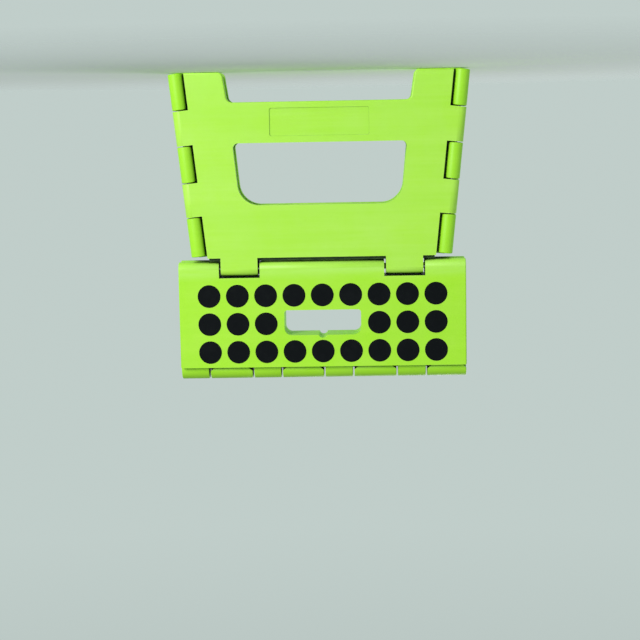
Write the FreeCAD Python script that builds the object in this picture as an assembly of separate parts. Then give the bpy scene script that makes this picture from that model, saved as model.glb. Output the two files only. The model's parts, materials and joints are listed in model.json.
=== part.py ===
"""Folding step stool, modelled folded flat and standing on its feet.

Frame: millimetres, +Z up, X across the width, Y through the folded thickness.
The front is -Y. The origin is on the floor, at the middle of the folded package.

The stool is two leg panels, two halves of the top and four half side panels.
Every pair that meets is hinged on a steel pin through interleaved knuckles.
When it opens, the front leg panel stays where it is, the rear one moves along +Y,
the halves of the top swing down level and the side panels fold out straight.
HALF_SPAN is the distance from an outer hinge to the middle hinge on the top and on
the sides alike, and HINGE_DEPTH is how far every outer hinge lies from the mid
plane, so all the hinges turn through the same angle and every loop stays closed.
"""
import FreeCAD, Part
import math
import os

V = FreeCAD.Vector

# Driving dimensions
HALF_SPAN = 100.0          # outer hinge axis to middle hinge axis, top and sides
HINGE_DEPTH = 10.5         # outer hinge axes to the mid plane of the folded package
KNUCKLE_R = 7.5            # top hinge knuckles and corner knuckles
SIDE_ROOM = 8.9            # reach of the leg panel's notches round the side panels' knuckles
GAP = 0.8                  # end gap between neighbouring knuckles
RUNNING = 0.4              # radial room round a knuckle in its neighbour's notch
PIN_FIT = 0.05             # radial clearance of every pin
LAYER_GAP = 0.15           # each layer stands this far off the mid plane

# Leg panels
LEG_SLANT = math.radians(5.95)
FOOT_AXIS_X = 141.8        # corner hinge axis at floor level
LEG_THICK = 8.0
LEG_TOP_Z = 183.7
LEG_BOTTOM_Z = 0.3
LEG_EDGE_R = 1.6           # rounding of the outer edges and of the foot arch
LEDGE_TOP_Z = 187.0        # thin ledge that closes the gap below the top's round nose
LEDGE_FRONT_Y = -12.3
LEDGE_BACK_Y = -10.7
FOOT_INNER_X = 95.0
ARCH_Z = 29.8
ARCH_X = 90.5
WINDOW_LOW_Z = 70.0
WINDOW_HIGH_Z = 131.5
WINDOW_LOW_X = 86.4
WINDOW_HIGH_X = 80.3
TAB_INNER_X = 64.0
TAB_OUTER_X = 100.9
LABEL_HALF_X = 49.2
LABEL_LOW_Z = 36.0
LABEL_HIGH_Z = 63.5
LABEL_DEPTH = 0.8

# Halves of the top
TOP_HINGE_Z = 195.0
TOP_HALF_X = 143.4
TOP_LIP_Z = 293.9          # the outer skin stops a little short of the seam
SEAM_Z = TOP_HINGE_Z + HALF_SPAN
BARREL_R = 12.0
BARREL_ROOM = 12.5
BARREL_GAP = 0.8           # each barrel stops this far short of its share
BARREL_EDGE_R = 0.8
CORNER_CUT_X = 5.4         # cut corners of the rear half's barrels, beside the other's lip
CORNER_CUT_TOP_Z = 298.2
DOT_PITCH = 28.3
DOT_R = 11.4
DOT_ROW_Z = 250.0
DOT_SINK = 2.0
DOT_PROUD = 0.4
SLOT_HALF_X = 38.3
SLOT_LOW_Z = 236.7
SLOT_HIGH_Z = 261.9
SLOT_NOTCH_R = 4.3
SLOT_NOTCH_Z = 260.7       # centre of the slot's round notch
TAB_SIDE_ROOM = 1.9        # room beside each leg tab
TAB_END_ROOM = 1.2         # room above each leg tab

# Side panels, measured inwards (p) and up (q) along the slanted corner hinge
STRIP_WIDTH = 43.0
BAND_LOW_Z = 31.0
BAND_HIGH_Z = 68.5
YOKE_LOW_Z = 133.5
SIDE_TOP_Z = 183.0         # height of the panel's top edge on its inner face, open
SEAM_RELIEF_Z = 170.8      # lower top edge that passes under the seam barrels
SEAM_RELIEF_P = 84.0
CENTRE_R = 6.0

# Moulded walls
SKIN = 3.0
TOP_SKIN = 4.0
RIB = 2.0
RIM = 4.0
CELL = 28.3

# Steel pins
CORNER_PIN_R = 1.75
TOP_PIN_R = 2.0
SEAM_PIN_R = 2.5
CENTRE_PIN_R = 1.6

# Rubber feet
PAD_INNER_X = 99.0
PAD_OUTER_X = 125.0
PAD_DEPTH = 5.0
PAD_HEIGHT = 4.0

SIN_A = math.sin(LEG_SLANT)
COS_A = math.cos(LEG_SLANT)
OUTER_Y = -(HINGE_DEPTH + KNUCKLE_R)           # front face of the folded package
LEG_BACK_Y = OUTER_Y + LEG_THICK
SIDE_NEAR = 0.8                                # side panel faces, from the corner axis
SIDE_FAR = HINGE_DEPTH - LAYER_GAP

SIDE_KNUCKLES = [(1.0, 36.9), (73.0, 108.9), (144.0, 183.1)]
LEG_KNUCKLES = [(37.8, 72.1), (109.8, 143.1)]
CORNER_PIN = (2.2, 182.2)
FRONT_CENTRE_KNUCKLES = [(42.0, 53.8), (66.6, 77.5), (145.5, 156.8)]
REAR_CENTRE_KNUCKLES = [(54.6, 65.8), (157.6, 169.0)]
CENTRE_PINS = {"lower": (42.5, 77.0), "upper": (146.0, 168.5)}

BARREL_WIDTHS = [40.7, 29.5, 43.8, 29.3, 43.0, 28.9, 44.0, 27.9]


def box(x0, x1, y0, y1, z0, z1):
    """Solid block between two corners."""
    return Part.makeBox(x1 - x0, y1 - y0, z1 - z0, V(x0, y0, z0))


def rounded_wire(corners, place):
    """Closed wire through (a, b, radius) corners; place turns (a, b) into a point."""
    count = len(corners)
    edges = []
    joints = []
    for i, (a, b, radius) in enumerate(corners):
        here = FreeCAD.Vector(a, b, 0)
        before = FreeCAD.Vector(corners[i - 1][0], corners[i - 1][1], 0)
        after = FreeCAD.Vector(corners[(i + 1) % count][0], corners[(i + 1) % count][1], 0)
        back = (before - here).normalize()
        ahead = (after - here).normalize()
        if radius == 0:
            joints.append((here, None, here))
            continue
        half = back.getAngle(ahead) / 2
        reach = radius / math.tan(half)
        middle = (back + ahead).normalize() * (radius / math.sin(half) - radius)
        joints.append((here + back * reach, here + middle, here + ahead * reach))
    for i, (start, middle, end) in enumerate(joints):
        if middle is not None:
            edges.append(Part.Arc(place(start), place(middle), place(end)).toShape())
        following = joints[(i + 1) % count][0]
        if end.distanceToPoint(following) > 1e-6:
            edges.append(Part.LineSegment(place(end), place(following)).toShape())
    return Part.Wire(edges)


def upright_plate(corners, y0, y1):
    """Plate with its outline in XZ, from y0 to y1."""
    wire = rounded_wire(corners, lambda point: V(point.x, y0, point.y))
    return Part.Face(wire).extrude(V(0, y1 - y0, 0))


def local_plate(corners, d0, d1):
    """Plate with its outline in the side panel's (p, q), from depth d0 to d1."""
    wire = rounded_wire(corners, lambda point: V(point.x, point.y, d0))
    return Part.Face(wire).extrude(V(0, 0, d1 - d0))


def mirror_x(shape):
    """The same shape on the other side of the stool."""
    return shape.mirror(V(0, 0, 0), V(1, 0, 0))


def mirror_y(shape):
    """The same shape at the back of the stool."""
    return shape.mirror(V(0, 0, 0), V(0, 1, 0))


def corner_frame():
    """Placement from side panel (p, q, d) to the stool, front right corner."""
    matrix = FreeCAD.Matrix(
        -COS_A, -SIN_A, 0, FOOT_AXIS_X,
        0, 0, 1, -HINGE_DEPTH,
        -SIN_A, COS_A, 0, 0,
        0, 0, 0, 1)
    return FreeCAD.Placement(matrix)


def placed(shape):
    """Shape moved from the side panel's frame to the front right corner."""
    moved = shape.copy()
    moved.Placement = corner_frame()
    return moved


def corner_rod(radius, q0, q1):
    """Cylinder on the corner hinge axis, in the side panel's frame."""
    return Part.makeCylinder(radius, q1 - q0, V(0, q0, 0), V(0, 1, 0))


def centre_rod(radius, q0, q1):
    """Cylinder on the side's middle hinge axis, in the side panel's frame."""
    return Part.makeCylinder(radius, q1 - q0, V(HALF_SPAN, q0, HINGE_DEPTH), V(0, 1, 0))


def cross_rod(radius, x0, x1, y, z):
    """Cylinder along X."""
    return Part.makeCylinder(radius, x1 - x0, V(x0, y, z), V(1, 0, 0))


def soften(solid, radius, wanted):
    """Fillet the edges whose middle point passes the test."""
    edges = [e for e in solid.Edges if wanted(e.valueAt((e.FirstParameter + e.LastParameter) / 2))]
    return solid.makeFillet(radius, edges)


def rounded_ends(rod, radius):
    """Cylinder with both its end edges rounded."""
    rims = [e for e in rod.Edges if e.isClosed()]
    return rod.makeFillet(radius, rims)


def ribs(low_a, high_a, low_b, high_b, make_bar):
    """Crossing ribs over a region, one each CELL along both directions."""
    bars = []
    columns = int((high_a - low_a) / CELL) + 1
    first_a = (low_a + high_a - columns * CELL) / 2
    for i in range(columns + 1):
        middle = first_a + i * CELL
        bars.append(make_bar(middle - RIB / 2, middle + RIB / 2, low_b, high_b))
    rows = int((high_b - low_b) / CELL) + 1
    first_b = (low_b + high_b - rows * CELL) / 2
    for i in range(rows + 1):
        middle = first_b + i * CELL
        bars.append(make_bar(low_a, high_a, middle - RIB / 2, middle + RIB / 2))
    return bars


def axis_x(z):
    """Distance of the corner hinge axis from the middle at a height."""
    return FOOT_AXIS_X - z * math.tan(LEG_SLANT)


def leg_outline():
    """Corners of the leg panel: trapezium with the foot arch cut in."""
    right = [
        (ARCH_X, ARCH_Z, 6.0),
        (FOOT_INNER_X, LEG_BOTTOM_Z, 5.0),
        (axis_x(LEG_BOTTOM_Z), LEG_BOTTOM_Z, 0),
        (axis_x(LEG_TOP_Z), LEG_TOP_Z, 0),
    ]
    left = [(-x, z, radius) for x, z, radius in reversed(right)]
    return right + left


def window_outline(grow):
    """Corners of the hand opening in the leg panel, grown outwards."""
    right = [
        (WINDOW_LOW_X + grow, WINDOW_LOW_Z - grow, 5.0 + grow),
        (WINDOW_HIGH_X + grow, WINDOW_HIGH_Z + grow, 22.0 + grow),
    ]
    left = [(-x, z, radius) for x, z, radius in reversed(right)]
    return right + left


def leg_pockets():
    """Hollows between the ribs on the inner side of the leg panel."""
    inset = KNUCKLE_R + RIM
    low = LEG_BOTTOM_Z + PAD_HEIGHT + RIM
    high = LEG_TOP_Z - RIM
    outline = [
        (axis_x(low) - inset, low, 0),
        (axis_x(high) - inset, high, 0),
        (inset - axis_x(high), high, 0),
        (inset - axis_x(low), low, 0),
    ]
    floor_y = OUTER_Y + SKIN
    hollow = upright_plate(outline, floor_y, LEG_BACK_Y)
    arch = [
        (ARCH_X + RIM, ARCH_Z + RIM, 6.0),
        (FOOT_INNER_X + RIM, -RIM, 0),
        (-FOOT_INNER_X - RIM, -RIM, 0),
        (-ARCH_X - RIM, ARCH_Z + RIM, 6.0),
    ]
    keep = [upright_plate(arch, floor_y, LEG_BACK_Y)]
    keep.append(upright_plate(window_outline(RIM), floor_y, LEG_BACK_Y))
    keep += ribs(-FOOT_AXIS_X, FOOT_AXIS_X, low, high,
                 lambda x0, x1, z0, z1: box(x0, x1, floor_y, LEG_BACK_Y, z0, z1))
    return hollow.cut(keep)


def front_leg_panel():
    """Front leg panel with feet, hand opening, corner knuckles and top tabs."""
    panel = upright_plate(leg_outline(), OUTER_Y, LEG_BACK_Y)

    def on_front_rim(point):
        below_top = point.z < LEG_TOP_Z - 1 and abs(point.x) < axis_x(point.z) - 2
        return abs(point.y - OUTER_Y) < 1e-3 and below_top

    panel = soften(panel, LEG_EDGE_R, on_front_rim)
    panel = panel.cut([upright_plate(window_outline(0), OUTER_Y, LEG_BACK_Y), leg_pockets()])

    label = [
        (LABEL_HALF_X, LABEL_LOW_Z, 2.0),
        (LABEL_HALF_X, LABEL_HIGH_Z, 2.0),
        (-LABEL_HALF_X, LABEL_HIGH_Z, 2.0),
        (-LABEL_HALF_X, LABEL_LOW_Z, 2.0),
    ]
    panel = panel.cut(upright_plate(label, OUTER_Y, OUTER_Y + LABEL_DEPTH))

    knuckles = [placed(corner_rod(KNUCKLE_R, q0, q1)) for q0, q1 in LEG_KNUCKLES]
    knuckles += [mirror_x(knuckle) for knuckle in knuckles]
    tab = cross_rod(KNUCKLE_R, TAB_INNER_X, TAB_OUTER_X, -HINGE_DEPTH, TOP_HINGE_Z)
    neck = box(TAB_INNER_X, TAB_OUTER_X, OUTER_Y, LEG_BACK_Y, LEG_TOP_Z - 10, TOP_HINGE_Z)
    tab = tab.fuse(neck)
    panel = panel.fuse(knuckles + [tab, mirror_x(tab), top_ledge()])

    notches = []
    lows = [-KNUCKLE_R] + [q0 - GAP for q0, q1 in SIDE_KNUCKLES[1:]]
    highs = [q1 + GAP for q0, q1 in SIDE_KNUCKLES[:-1]] + [LEG_TOP_Z + KNUCKLE_R]
    for low, high in zip(lows, highs):
        notch = Part.makeBox(2 * SIDE_ROOM, high - low, 2 * SIDE_ROOM, V(-SIDE_ROOM, low, -SIDE_ROOM))
        notches.append(placed(notch))
    notches.append(placed(corner_rod(CORNER_PIN_R + PIN_FIT, 0, LEG_TOP_Z + KNUCKLE_R)))
    notches.append(cross_rod(TOP_PIN_R + PIN_FIT, TAB_INNER_X - 1, TAB_OUTER_X + 1,
                             -HINGE_DEPTH, TOP_HINGE_Z))
    notches.append(foot_pad(PIN_FIT))
    notches += [mirror_x(notch) for notch in notches]
    return panel.cut(notches).removeSplitter()


def top_ledge():
    """Ledge along the leg panel's top edge, behind its front skin."""
    low = LEG_TOP_Z - RIM / 2
    inset = SIDE_ROOM + 1
    right = [(axis_x(low) - inset, low, 0), (axis_x(LEDGE_TOP_Z) - inset, LEDGE_TOP_Z, 0)]
    left = [(-x, z, radius) for x, z, radius in reversed(right)]
    return upright_plate(right + left, LEDGE_FRONT_Y, LEDGE_BACK_Y)


def foot_pad(grow):
    """Rubber pad set into the underside of the front right foot."""
    middle = (OUTER_Y + LEG_BACK_Y) / 2
    low = 0 if grow == 0 else -1
    return box(PAD_INNER_X - grow, PAD_OUTER_X + grow,
               middle - PAD_DEPTH / 2 - grow, middle + PAD_DEPTH / 2 + grow,
               low, PAD_HEIGHT + grow)


def at_height(z, p):
    """Distance along the corner hinge of a point p inwards at height z, folded."""
    return (z + p * SIN_A) / COS_A


def side_outline():
    """Corners of a half side panel: strip, lower band and upper yoke."""
    edge = HALF_SPAN - LAYER_GAP
    top = SIDE_TOP_Z / COS_A
    relief = SEAM_RELIEF_Z / COS_A
    return [
        (0, at_height(LEG_BOTTOM_Z, 0), 0),
        (STRIP_WIDTH, at_height(LEG_BOTTOM_Z, STRIP_WIDTH), 5.0),
        (STRIP_WIDTH, at_height(BAND_LOW_Z, STRIP_WIDTH), 6.0),
        (edge, at_height(BAND_LOW_Z, edge), 0),
        (edge, at_height(BAND_HIGH_Z, edge), 0),
        (STRIP_WIDTH, at_height(BAND_HIGH_Z, STRIP_WIDTH), 6.0),
        (STRIP_WIDTH, at_height(YOKE_LOW_Z, STRIP_WIDTH), 10.0),
        (edge, at_height(YOKE_LOW_Z, edge), 0),
        (edge, relief, 0),
        (SEAM_RELIEF_P, relief, 4.0),
        (SEAM_RELIEF_P, top, 3.0),
        (0, top, 0),
    ]


def side_pockets():
    """Hollows between the ribs on the inner side of a half side panel."""
    left = KNUCKLE_R + RIM
    strip_right = STRIP_WIDTH - RIM
    band_right = HALF_SPAN - CENTRE_R - RIM
    near = SIDE_NEAR
    far = SIDE_FAR - SKIN
    strip = [
        (left, at_height(LEG_BOTTOM_Z, left) + RIM, 0),
        (strip_right, at_height(LEG_BOTTOM_Z, strip_right) + RIM, 0),
        (strip_right, SIDE_TOP_Z / COS_A - RIM, 0),
        (left, SIDE_TOP_Z / COS_A - RIM, 0),
    ]
    band = [
        (strip_right, at_height(BAND_LOW_Z + RIM, strip_right), 0),
        (band_right, at_height(BAND_LOW_Z + RIM, band_right), 0),
        (band_right, at_height(BAND_HIGH_Z - RIM, band_right), 0),
        (strip_right, at_height(BAND_HIGH_Z - RIM, strip_right), 0),
    ]
    yoke_right = SEAM_RELIEF_P - RIM
    yoke = [
        (strip_right, at_height(YOKE_LOW_Z + RIM, strip_right), 0),
        (yoke_right, at_height(YOKE_LOW_Z + RIM, yoke_right), 0),
        (yoke_right, SIDE_TOP_Z / COS_A - RIM, 0),
        (strip_right, SIDE_TOP_Z / COS_A - RIM, 0),
    ]
    hollow = local_plate(strip, near, far)
    hollow = hollow.fuse([local_plate(band, near, far), local_plate(yoke, near, far)])
    bars = ribs(0, HALF_SPAN, 0, SIDE_TOP_Z / COS_A,
                lambda p0, p1, q0, q1: Part.makeBox(p1 - p0, q1 - q0, far - near, V(p0, q0, near)))
    return hollow.cut(bars)


def half_side_panel(own_centre, other_centre):
    """Front right half side panel, placed in the folded stool."""
    panel = local_plate(side_outline(), SIDE_NEAR, SIDE_FAR)
    panel = panel.cut(side_pockets())
    knuckles = [rounded_ends(corner_rod(KNUCKLE_R, q0, q1), 1.2) for q0, q1 in SIDE_KNUCKLES]
    knuckles += [rounded_ends(centre_rod(CENTRE_R, q0, q1), 0.6) for q0, q1 in own_centre]
    panel = panel.fuse(knuckles)
    tools = [corner_rod(KNUCKLE_R + RUNNING, q0 - GAP, q1 + GAP) for q0, q1 in LEG_KNUCKLES]
    tools += [centre_rod(CENTRE_R + RUNNING, q0 - GAP, q1 + GAP) for q0, q1 in other_centre]
    tools.append(corner_rod(CORNER_PIN_R + PIN_FIT, 0, SIDE_TOP_Z + KNUCKLE_R))
    tools += [centre_rod(CENTRE_PIN_R + PIN_FIT, q0 - 1, q1 + 1)
              for q0, q1 in CENTRE_PINS.values()]
    return placed(panel.cut(tools)).removeSplitter()


def barrel_spans():
    """X limits of the seam barrels, which belong to the rear and front halves in turn."""
    edges = [-TOP_HALF_X - BARREL_GAP]
    for width in BARREL_WIDTHS[:-1]:
        edges.append(edges[-1] + width)
    edges.append(TOP_HALF_X + BARREL_GAP)
    return [(x0 + BARREL_GAP, x1 - BARREL_GAP) for x0, x1 in zip(edges, edges[1:])]


def top_block():
    """Front half of the top before its cuts: rounded nose, full thickness beyond."""
    axis = V(0, -HINGE_DEPTH, TOP_HINGE_Z)
    inner = -LAYER_GAP
    shoulder = inner + HINGE_DEPTH - KNUCKLE_R
    points = [
        V(0, OUTER_Y, TOP_HINGE_Z),
        V(0, OUTER_Y, TOP_LIP_Z),
        V(0, inner, TOP_LIP_Z),
        V(0, inner, TOP_HINGE_Z + shoulder),
        V(0, -HINGE_DEPTH + KNUCKLE_R, TOP_HINGE_Z),
    ]
    edges = [Part.LineSegment(a, b).toShape() for a, b in zip(points, points[1:])]
    edges.append(Part.Arc(points[-1], axis - V(0, 0, KNUCKLE_R), points[0]).toShape())
    face = Part.Face(Part.Wire(edges))
    face.translate(V(-TOP_HALF_X, 0, 0))
    block = face.extrude(V(2 * TOP_HALF_X, 0, 0))

    def on_end(point):
        return abs(abs(point.x) - TOP_HALF_X) < 1e-3 and point.y < -LAYER_GAP - 1

    return soften(block, 1.2, on_end)


def carry_slot(y0, y1):
    """Hand slot with a round notch in the middle of its seam side."""
    corners = [
        (-SLOT_HALF_X, SLOT_LOW_Z, 3.0),
        (SLOT_HALF_X, SLOT_LOW_Z, 3.0),
        (SLOT_HALF_X, SLOT_HIGH_Z, 7.0),
        (-SLOT_HALF_X, SLOT_HIGH_Z, 7.0),
    ]
    slot = upright_plate(corners, y0, y1)
    notch = Part.makeCylinder(SLOT_NOTCH_R, y1 - y0, V(0, y0, SLOT_NOTCH_Z), V(0, 1, 0))
    return slot.fuse(notch)


def dot_centres():
    """Middle of every grip dot as (x, z); the slot takes the place of three."""
    centres = []
    for row in (-1, 0, 1):
        for column in range(-4, 5):
            if row == 0 and abs(column) <= 1:
                continue
            centres.append((column * DOT_PITCH, DOT_ROW_Z + row * DOT_PITCH))
    return centres


def grip_dot(x, z, grow):
    """Rubber plug: round head in the recess, stem through the skin."""
    head_y = OUTER_Y - DOT_PROUD if grow == 0 else OUTER_Y - 1
    stem_end = OUTER_Y + TOP_SKIN + 0.6
    head_back = OUTER_Y + DOT_SINK
    head = Part.makeCylinder(DOT_R + grow, head_back - head_y, V(x, head_y, z), V(0, 1, 0))
    if grow == 0:
        head = soften(head, 0.3, lambda point: abs(point.y - head_y) < 1e-3)
    stem = Part.makeCylinder(4.0 + grow, stem_end + grow - head_back, V(x, head_back, z), V(0, 1, 0))
    return head.fuse(stem)


def top_pockets():
    """Hollows behind the skin of the top, one behind each dot."""
    rows = [(208.5, 234.8), (236.9, 263.1), (268.0, 280.5)]
    floor_y = OUTER_Y + TOP_SKIN
    pockets = []
    for row, (z0, z1) in enumerate(rows):
        for column in range(-5, 6):
            if row == 1 and abs(column) <= 1:
                continue
            x0 = max(column * DOT_PITCH - CELL / 2 + RIB / 2, -TOP_HALF_X + SKIN)
            x1 = min(column * DOT_PITCH + CELL / 2 - RIB / 2, TOP_HALF_X - SKIN)
            pockets.append(box(x0, x1, floor_y, 0, z0, z1))
    return pockets


def half_top(own, other, bevelled):
    """Front half of the top; own and other are the two sets of seam barrels."""
    half = top_block()
    barrels = []
    for x0, x1 in own:
        barrel = rounded_ends(cross_rod(BARREL_R, x0, x1, 0, SEAM_Z), BARREL_EDGE_R)
        if bevelled:
            barrel = barrel.cut([corner_cut(x0, 1), corner_cut(x1, -1)])
        barrels.append(barrel)
    half = half.fuse(barrels)

    tools = [cross_rod(BARREL_ROOM, x0 - 2 * BARREL_GAP, x1 + 2 * BARREL_GAP, 0, SEAM_Z)
             for x0, x1 in other]
    tools.append(cross_rod(SEAM_PIN_R + PIN_FIT, -TOP_HALF_X, TOP_HALF_X, 0, SEAM_Z))
    tools += top_pockets()
    tools.append(carry_slot(OUTER_Y - 1, 0))
    tools += [grip_dot(x, z, PIN_FIT) for x, z in dot_centres()]
    tab_room = box(TAB_INNER_X - TAB_SIDE_ROOM, TAB_OUTER_X + TAB_SIDE_ROOM, OUTER_Y - 1, 1,
                   TOP_HINGE_Z - KNUCKLE_R - 1, TOP_HINGE_Z + KNUCKLE_R + TAB_END_ROOM)
    pin_hole = cross_rod(TOP_PIN_R + PIN_FIT, TAB_INNER_X - 12, TOP_HALF_X + 1,
                         -HINGE_DEPTH, TOP_HINGE_Z)
    tools += [tab_room, mirror_x(tab_room), pin_hole, mirror_x(pin_hole)]
    return half.cut(tools).removeSplitter()


def corner_cut(x, inward):
    """Wedges off the corners of a barrel's end, below its round top, front and back."""
    slope = (CORNER_CUT_TOP_Z - TOP_LIP_Z) / CORNER_CUT_X
    low = SEAM_Z - BARREL_R
    reach = x + inward * (CORNER_CUT_TOP_Z - low) / slope
    corners = [V(x, 0, low), V(reach, 0, low), V(x, 0, CORNER_CUT_TOP_Z), V(x, 0, low)]
    depth = BARREL_R + 1
    wedge = Part.Face(Part.makePolygon(corners)).extrude(V(0, depth, 0))
    wedge = wedge.cut(box(x - 2 * depth, x + 2 * depth, -1, 4, low - 1, CORNER_CUT_TOP_Z + 1))
    return wedge.fuse(mirror_y(wedge))


def build():
    """Every sub-part as a name and a shape, in the folded position."""
    spans = barrel_spans()
    rear_spans = spans[0::2]
    front_spans = spans[1::2]
    parts = {}

    leg = front_leg_panel()
    parts["front_leg_panel"] = leg
    parts["rear_leg_panel"] = mirror_y(leg)

    parts["front_top_half"] = half_top(front_spans, rear_spans, False)
    parts["rear_top_half"] = mirror_y(half_top(rear_spans, front_spans, True))

    front_side = half_side_panel(FRONT_CENTRE_KNUCKLES, REAR_CENTRE_KNUCKLES)
    rear_side = mirror_y(half_side_panel(REAR_CENTRE_KNUCKLES, FRONT_CENTRE_KNUCKLES))
    parts["right_front_side_panel"] = front_side
    parts["left_front_side_panel"] = mirror_x(front_side)
    parts["right_rear_side_panel"] = rear_side
    parts["left_rear_side_panel"] = mirror_x(rear_side)

    dots = Part.makeCompound([grip_dot(x, z, 0) for x, z in dot_centres()])
    parts["front_grip_dots"] = dots
    parts["rear_grip_dots"] = mirror_y(dots)

    corner_pin = placed(corner_rod(CORNER_PIN_R, *CORNER_PIN))
    top_pin = cross_rod(TOP_PIN_R, TAB_INNER_X - 11, TOP_HALF_X - 2, -HINGE_DEPTH, TOP_HINGE_Z)
    pad = foot_pad(0)
    for name, shape in (("corner_pin", corner_pin), ("top_pin", top_pin), ("foot_pad", pad)):
        parts["right_front_" + name] = shape
        parts["left_front_" + name] = mirror_x(shape)
        parts["right_rear_" + name] = mirror_y(shape)
        parts["left_rear_" + name] = mirror_x(mirror_y(shape))

    for level, (q0, q1) in CENTRE_PINS.items():
        pin = placed(centre_rod(CENTRE_PIN_R, q0, q1))
        parts["right_" + level + "_side_pin"] = pin
        parts["left_" + level + "_side_pin"] = mirror_x(pin)

    parts["seam_pin"] = cross_rod(SEAM_PIN_R, -TOP_HALF_X + 2, TOP_HALF_X - 2, 0, SEAM_Z)
    return parts


def main():
    os.makedirs("parts", exist_ok=True)
    for name, shape in build().items():
        shape.exportStep("parts/" + name + ".step")
        print(name, len(shape.Solids), round(shape.Volume / 1000, 2), "cm3", shape.isValid())


main()
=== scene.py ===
"""Looks of the folding step stool: moulded lime plastic, black rubber dots, steel pins."""
import json
import math

import bpy
from mathutils import Matrix, Vector


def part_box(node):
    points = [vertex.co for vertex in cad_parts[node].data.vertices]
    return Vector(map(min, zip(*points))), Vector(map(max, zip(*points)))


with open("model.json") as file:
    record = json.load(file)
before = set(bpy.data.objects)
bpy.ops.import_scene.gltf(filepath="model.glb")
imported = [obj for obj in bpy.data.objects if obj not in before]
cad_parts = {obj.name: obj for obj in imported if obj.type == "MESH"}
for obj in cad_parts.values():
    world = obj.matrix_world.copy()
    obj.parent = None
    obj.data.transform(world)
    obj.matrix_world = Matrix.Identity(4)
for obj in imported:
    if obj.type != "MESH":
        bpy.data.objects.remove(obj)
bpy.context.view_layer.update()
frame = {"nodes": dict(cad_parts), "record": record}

# Camera: in front of the stool, a little above the floor, looking up, and held upside down,
# so that the stool hangs feet up in the picture.
CAMERA_DISTANCE = 1.5991
CAMERA_AZIMUTH = math.radians(-1.773)
CAMERA_ELEVATION = math.radians(-7.049)
CAMERA_ROLL = math.radians(178.942)
CAMERA_AIM_X = 0.0027
CAMERA_AIM_Z = 0.2469
LENS_MM = 90
SENSOR_MM = 36

# Lime plastic, one look for each kind of moulding; the legs' paler, yellower colour partly holds
# a painted sheen of the light on their flat faces; colours are linear
LIMES = {
    "lime_legs": (0.408, 0.768, 0.050),
    "lime_top": (0.365, 0.755, 0.018),
    "lime_sides": (0.350, 0.750, 0.018),
}
HAZES = {"lime_legs": 0.30, "lime_top": 0.62, "lime_sides": 0.40}  # strength of the pale mottling
# Painted shade in gaps: openness below which a gap is painted fully dark, and above which it is
# not darkened at all
GAP_SHADE_LIMITS = {"lime_legs": (0.30, 0.66), "lime_top": (0.28, 0.62), "lime_sides": (0.14, 0.44)}
GAP_SHADE_REACH = 0.016
# Colour of the painted shade in gaps, also used on the leg panel's ledge
PAINTED_GAP_SHADE = (0.004, 0.030, 0.001)
# Pale rubbed edges, partly wear and partly a painted highlight along the edges: colour and width
LIME_WEAR_AND_HIGHLIGHT = (0.600, 0.880, 0.240)
WEAR_AND_HIGHLIGHT_WIDTH = 0.0009
LIME_SPECULAR = 0.36

# Painted highlight: the top's round nose is painted paler, unevenly, fading out between these
# heights
LIME_NOSE_HIGHLIGHT = (0.440, 0.800, 0.110)
NOSE_HIGHLIGHT_Z = (0.196, 0.207)

# Painted shade on the leg panel's ledge, in the gap under the top: its heights, and where it
# starts behind the front skin
LEDGE_Z = (0.1835, 0.1875)
LEDGE_DEPTH = (0.0134, 0.0148)

# Rubber and steel
RUBBER = (0.0030, 0.0042, 0.0052)
RUBBER_DUST = (0.011, 0.013, 0.014)
RUBBER_SPECULAR = 0.07
STEEL = (0.560, 0.570, 0.580)
STEEL_DARK = (0.300, 0.300, 0.310)

# Small rounded edges by material, in metres
LIME_EDGE = 0.0005
PAD_EDGE = 0.0004
PIN_EDGE = 0.0002
SHARP_ANGLE = math.radians(40)
WELD_GAP = 0.00001

# Floor, fading out between two distances from the stool
FLOOR = (0.945, 0.960, 0.955)
FLOOR_RADIUS = 6.0
FLOOR_FADE = (0.20, 0.80)

# Lights: place, size of the square, watts
KEY = ((1.05, -1.50, -0.45), 0.7, 29)
BACK = ((-0.6, 1.2, 1.1), 1.2, 8)
LIT_POINT = (0, 0, 0.16)
WORLD = (0.530, 0.615, 0.590)
WORLD_FADE = (0.25, 0.80)   # the fill weakens between these, from level (0) to straight up (1)
WORLD_TOP_STRENGTH = 0.5


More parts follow.
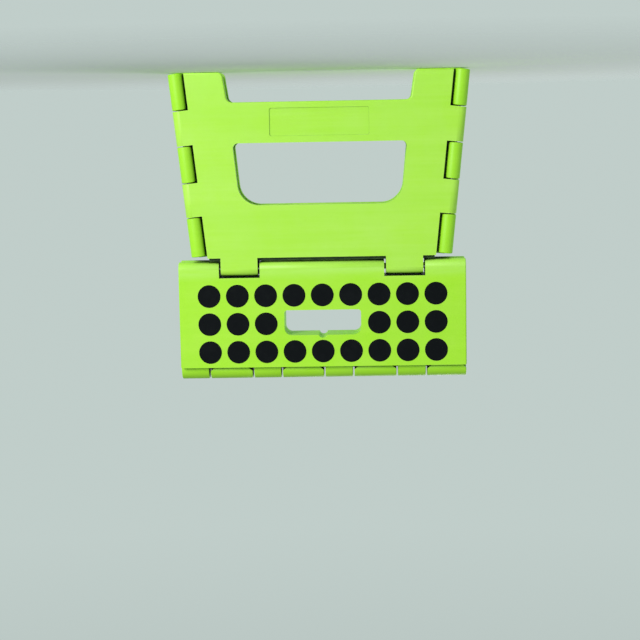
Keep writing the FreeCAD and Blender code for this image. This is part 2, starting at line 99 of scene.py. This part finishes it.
class Nodes:
    """A material's node tree with short ways to add and link nodes."""

    def __init__(self, name):
        self.material = bpy.data.materials.new(name)
        self.material.use_nodes = True
        self.tree = self.material.node_tree
        self.shader = self.tree.nodes["Principled BSDF"]
        self.place = self.add("ShaderNodeTexCoord").outputs["Object"]

    def add(self, kind, **settings):
        node = self.tree.nodes.new(kind)
        for key, value in settings.items():
            setattr(node, key, value)
        return node

    def link(self, output, target):
        self.tree.links.new(output, target)

    def stretched(self, scale):
        """Object coordinates scaled along each axis."""
        mapping = self.add("ShaderNodeMapping")
        mapping.inputs["Scale"].default_value = scale
        self.link(self.place, mapping.inputs["Vector"])
        return mapping.outputs["Vector"]

    def noise(self, scale, detail=2.0, rough=0.5, vector=None):
        node = self.add("ShaderNodeTexNoise")
        node.inputs["Scale"].default_value = scale
        node.inputs["Detail"].default_value = detail
        node.inputs["Roughness"].default_value = rough
        self.link(vector or self.place, node.inputs["Vector"])
        return node.outputs["Fac"]

    def ramp(self, value, low, high, to_low=0.0, to_high=1.0):
        """Value mapped from low..high to to_low..to_high, clamped."""
        node = self.add("ShaderNodeMapRange")
        node.inputs["From Min"].default_value = low
        node.inputs["From Max"].default_value = high
        node.inputs["To Min"].default_value = to_low
        node.inputs["To Max"].default_value = to_high
        self.link(value, node.inputs["Value"])
        return node.outputs["Result"]

    def math(self, operation, a, b):
        node = self.add("ShaderNodeMath", operation=operation)
        for socket, value in zip(node.inputs, (a, b)):
            if isinstance(value, (int, float)):
                socket.default_value = value
            else:
                self.link(value, socket)
        return node.outputs["Value"]

    def mix(self, factor, a, b):
        node = self.add("ShaderNodeMix", data_type="RGBA")
        self.link(factor, node.inputs["Factor"])
        for name, colour in (("A", a), ("B", b)):
            socket = [s for s in node.inputs if s.name == name and s.type == "RGBA"][0]
            if isinstance(colour, tuple):
                socket.default_value = (*colour, 1)
            else:
                self.link(colour, socket)
        return [s for s in node.outputs if s.type == "RGBA"][0]

    def bump(self, height, depth, normal=None, strength=1.0):
        node = self.add("ShaderNodeBump")
        node.inputs["Distance"].default_value = depth
        node.inputs["Strength"].default_value = strength
        self.link(height, node.inputs["Height"])
        if normal:
            self.link(normal, node.inputs["Normal"])
        return node.outputs["Normal"]

    def edges(self, radius):
        """About 1 on convex and concave edges, 0 on open faces."""
        bevel = self.add("ShaderNodeBevel", samples=4)
        bevel.inputs["Radius"].default_value = radius
        geometry = self.add("ShaderNodeNewGeometry")
        dot = self.add("ShaderNodeVectorMath", operation="DOT_PRODUCT")
        self.link(bevel.outputs["Normal"], dot.inputs[0])
        self.link(geometry.outputs["Normal"], dot.inputs[1])
        return self.ramp(dot.outputs["Value"], 0.985, 0.80)

    def painted_shade_mask(self, reach, closed, open_air):
        """Mask for painted shade: 1 deep in gaps and pockets narrower than reach, 0 in the open.
        """
        occlusion = self.add("ShaderNodeAmbientOcclusion", samples=8)
        occlusion.inputs["Distance"].default_value = reach
        return self.ramp(occlusion.outputs["AO"], closed, open_air, 1.0, 0.0)


def shade(colour, red, green, blue):
    """A colour with each part scaled, kept below full white."""
    return tuple(min(c * k, 0.95) for c, k in zip(colour, (red, green, blue)))


def painted_nose_highlight(n, colour):
    """Painted highlight: a pale, uneven band along the round nose of a half of the top."""
    split = n.add("ShaderNodeSeparateXYZ")
    n.link(n.place, split.inputs["Vector"])
    band = n.ramp(split.outputs["Z"], *NOSE_HIGHLIGHT_Z, 1.0, 0.0)
    patchy = n.ramp(n.noise(1, 4, 0.6, n.stretched((16, 16, 160))), 0.30, 0.60, 0.35, 1.0)
    return n.mix(n.math("MULTIPLY", band, patchy), colour, LIME_NOSE_HIGHLIGHT)


def painted_ledge_shade(n, colour):
    """Painted shade: dark colour in the narrow gap between a leg panel and the top."""
    split = n.add("ShaderNodeSeparateXYZ")
    n.link(n.place, split.inputs["Vector"])
    above = n.ramp(split.outputs["Z"], LEDGE_Z[0] - 0.0002, LEDGE_Z[0])
    below = n.ramp(split.outputs["Z"], LEDGE_Z[1], LEDGE_Z[1] + 0.0004, 1.0, 0.0)
    behind = n.ramp(n.math("ABSOLUTE", split.outputs["Y"], 0), *LEDGE_DEPTH, 1.0, 0.0)
    mask = n.math("MULTIPLY", n.math("MULTIPLY", above, below), behind)
    uneven = n.ramp(n.noise(90, 3), 0.3, 0.7, 0.90, 1.0)
    return n.mix(n.math("MULTIPLY", mask, uneven), colour, PAINTED_GAP_SHADE)


def lime_plastic(name, base):
    """Moulded plastic: mottled haze, flow streaks, fine grain, scratches, pale edges that are
    partly wear and partly a painted highlight, painted shade in gaps; a painted highlight on the
    top's nose and painted shade on the legs' ledge.
    """
    n = Nodes(name)
    cloud = n.ramp(n.noise(8, 3), 0.3, 0.7)
    haze = n.ramp(n.noise(26, 4, 0.6), 0.38, 0.66)
    streak = n.ramp(n.noise(1, 3, 0.6, n.stretched((10, 10, 290))), 0.40, 0.66)
    broad = n.ramp(n.noise(1, 2, 0.5, n.stretched((5, 5, 60))), 0.35, 0.65)
    speck = n.ramp(n.noise(420, 2), 0.66, 0.72)
    colour = n.mix(n.math("MULTIPLY", cloud, 0.45), base, shade(base, 1.10, 1.05, 1.5))
    colour = n.mix(n.math("MULTIPLY", haze, HAZES[name]), colour, shade(base, 1.15, 1.02, 3.2))
    colour = n.mix(n.math("MULTIPLY", streak, 0.30), colour, shade(base, 1.16, 1.05, 2.4))
    colour = n.mix(n.math("MULTIPLY", broad, 0.30), colour, shade(base, 0.86, 0.95, 0.6))
    colour = n.mix(n.math("MULTIPLY", speck, 0.12), colour, shade(base, 0.70, 0.80, 0.5))
    # Painted highlight along the top's round nose
    if name == "lime_top":
        colour = painted_nose_highlight(n, colour)
    # Painted shade on the legs' ledge under the top
    if name == "lime_legs":
        colour = painted_ledge_shade(n, colour)
    # Pale edges, broken up by noise: partly wear, partly a painted highlight
    wear_and_highlight = n.math("MULTIPLY", n.edges(WEAR_AND_HIGHLIGHT_WIDTH), n.ramp(n.noise(70, 3), 0.42, 0.62))
    colour = n.mix(n.math("MULTIPLY", wear_and_highlight, 0.45), colour, LIME_WEAR_AND_HIGHLIGHT)
    # Painted shade: gaps and pockets darkened by how enclosed they are
    colour = n.mix(n.painted_shade_mask(GAP_SHADE_REACH, *GAP_SHADE_LIMITS[name]), colour, PAINTED_GAP_SHADE)
    n.link(colour, n.shader.inputs["Base Color"])

    grain = n.noise(1500, 2, 0.6)
    ripple = n.noise(1, 2, 0.5, n.stretched((25, 25, 120)))
    scratch = n.ramp(n.noise(1, 3, 0.7, n.stretched((900, 900, 35))), 0.69, 0.73)
    patch = n.ramp(n.noise(45, 4), 0.3, 0.7, 0.40, 0.50)
    n.link(n.math("ADD", patch, n.math("MULTIPLY", scratch, 0.12)), n.shader.inputs["Roughness"])
    normal = n.bump(ripple, 0.0004, strength=0.25)
    normal = n.bump(grain, 0.00006, normal, 0.5)
    n.link(normal, n.shader.inputs["Normal"])
    n.shader.inputs["Specular IOR Level"].default_value = LIME_SPECULAR
    return n.material


def black_rubber(name, grain_scale):
    """Matt black rubber with a fine grain and a little dust."""
    n = Nodes(name)
    dust = n.math("MULTIPLY", n.ramp(n.noise(60, 5, 0.7), 0.5, 0.8), 0.35)
    n.link(n.mix(dust, RUBBER, RUBBER_DUST), n.shader.inputs["Base Color"])
    n.link(n.ramp(n.noise(200, 3), 0.3, 0.7, 0.55, 0.72), n.shader.inputs["Roughness"])
    n.link(n.bump(n.noise(grain_scale, 3, 0.6), 0.00012, strength=0.5), n.shader.inputs["Normal"])
    n.shader.inputs["Specular IOR Level"].default_value = RUBBER_SPECULAR
    return n.material


def drawn_steel():
    """Steel rod with fine lines drawn along it."""
    n = Nodes("steel_pin")
    lines = n.noise(1, 4, 0.7, n.stretched((60, 2500, 2500)))
    n.link(n.mix(n.ramp(lines, 0.3, 0.7), STEEL, STEEL_DARK), n.shader.inputs["Base Color"])
    n.link(n.ramp(n.noise(300, 3), 0.3, 0.7, 0.22, 0.38), n.shader.inputs["Roughness"])
    n.link(n.bump(lines, 0.00002, strength=0.4), n.shader.inputs["Normal"])
    n.shader.inputs["Metallic"].default_value = 1.0
    return n.material


def dress(node, material, edge):
    """Give a CAD node its material and small rounded edges."""
    piece = frame["nodes"][node]
    piece.data.materials.clear()
    piece.data.materials.append(material)
    weld = piece.modifiers.new("weld", "WELD")
    weld.merge_threshold = WELD_GAP
    if edge:
        bevel = piece.modifiers.new("edge", "BEVEL")
        bevel.width = edge
        bevel.segments = 2
        bevel.limit_method = "ANGLE"
        bevel.angle_limit = SHARP_ANGLE
        bevel.use_clamp_overlap = True
        bevel.harden_normals = True


def dress_all():
    """Materials by the record's material slots; the lime varies a little by moulding, and the
    legs' paler colour is partly a painted sheen.
    """
    limes = {name: lime_plastic(name, base) for name, base in LIMES.items()}
    looks = {
        "grip_rubber": (black_rubber("grip_rubber", 1800), 0),
        "foot_rubber": (black_rubber("foot_rubber", 1200), PAD_EDGE),
        "steel_pin": (drawn_steel(), PIN_EDGE),
    }
    for entry in frame["record"]["subparts"]:
        node = entry["node"]
        if entry["material_slot"] == "lime_plastic":
            kind = "legs" if "leg" in node else "top" if "top" in node else "sides"
            dress(node, limes["lime_" + kind], LIME_EDGE)
        else:
            dress(node, *looks[entry["material_slot"]])


def stage_floor():
    """Plain pale floor that fades into the background away from the stool."""
    bpy.ops.mesh.primitive_circle_add(vertices=96, radius=FLOOR_RADIUS, fill_type="NGON")
    floor = bpy.context.object
    floor.name = "floor"
    floor.visible_shadow = False
    n = Nodes("floor")
    duller = shade(FLOOR, 0.97, 0.97, 0.97)
    n.link(n.mix(n.noise(3, 4), FLOOR, duller), n.shader.inputs["Base Color"])
    n.shader.inputs["Roughness"].default_value = 0.9
    n.shader.inputs["Specular IOR Level"].default_value = 0.0
    distance = n.add("ShaderNodeVectorMath", operation="LENGTH")
    n.link(n.place, distance.inputs[0])
    n.link(n.ramp(distance.outputs["Value"], *FLOOR_FADE, 1.0, 0.0), n.shader.inputs["Alpha"])
    floor.data.materials.append(n.material)


def area_light(name, place, size, power):
    """Square soft light that faces the stool."""
    data = bpy.data.lights.new(name, "AREA")
    data.shape = "SQUARE"
    data.size = size
    data.energy = power
    light = bpy.data.objects.new(name, data)
    light.location = place
    aim = Vector(LIT_POINT) - Vector(place)
    light.rotation_euler = aim.to_track_quat("-Z", "Y").to_euler()
    bpy.context.scene.collection.objects.link(light)


def lights():
    """Soft key from the front, low and to one side, a weaker one from behind, pale fill."""
    area_light("key", *KEY)
    area_light("back", *BACK)
    world = bpy.data.worlds.new("studio")
    bpy.context.scene.world = world
    world.use_nodes = True
    nodes = world.node_tree.nodes
    links = world.node_tree.links
    background = nodes["Background"]
    background.inputs["Color"].default_value = (*WORLD, 1)
    split = nodes.new("ShaderNodeSeparateXYZ")
    links.new(nodes.new("ShaderNodeTexCoord").outputs["Generated"], split.inputs["Vector"])
    fade = nodes.new("ShaderNodeMapRange")
    fade.inputs["From Min"].default_value, fade.inputs["From Max"].default_value = WORLD_FADE
    fade.inputs["To Min"].default_value = 1.0
    fade.inputs["To Max"].default_value = WORLD_TOP_STRENGTH
    links.new(split.outputs["Z"], fade.inputs["Value"])
    links.new(fade.outputs["Result"], background.inputs["Strength"])


def camera():
    """The camera, turned upside down about its own line of sight."""
    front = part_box("front_leg_panel")[0].y
    aim = Vector((CAMERA_AIM_X, front, CAMERA_AIM_Z))
    level = math.cos(CAMERA_ELEVATION)
    sideways = math.sin(CAMERA_AZIMUTH) * level
    forwards = -math.cos(CAMERA_AZIMUTH) * level
    back = Vector((sideways, forwards, math.sin(CAMERA_ELEVATION)))
    data = bpy.data.cameras.new("camera")
    data.lens = LENS_MM
    data.sensor_width = SENSOR_MM
    cam = bpy.data.objects.new("camera", data)
    upright = (-back).to_track_quat("-Z", "Y").to_matrix().to_4x4()
    roll = Matrix.Rotation(CAMERA_ROLL, 4, "Z")
    cam.matrix_world = Matrix.Translation(aim + back * CAMERA_DISTANCE) @ upright @ roll
    bpy.context.scene.collection.objects.link(cam)
    bpy.context.scene.camera = cam


dress_all()
stage_floor()
lights()
camera()
bpy.context.scene.view_settings.view_transform = "Standard"
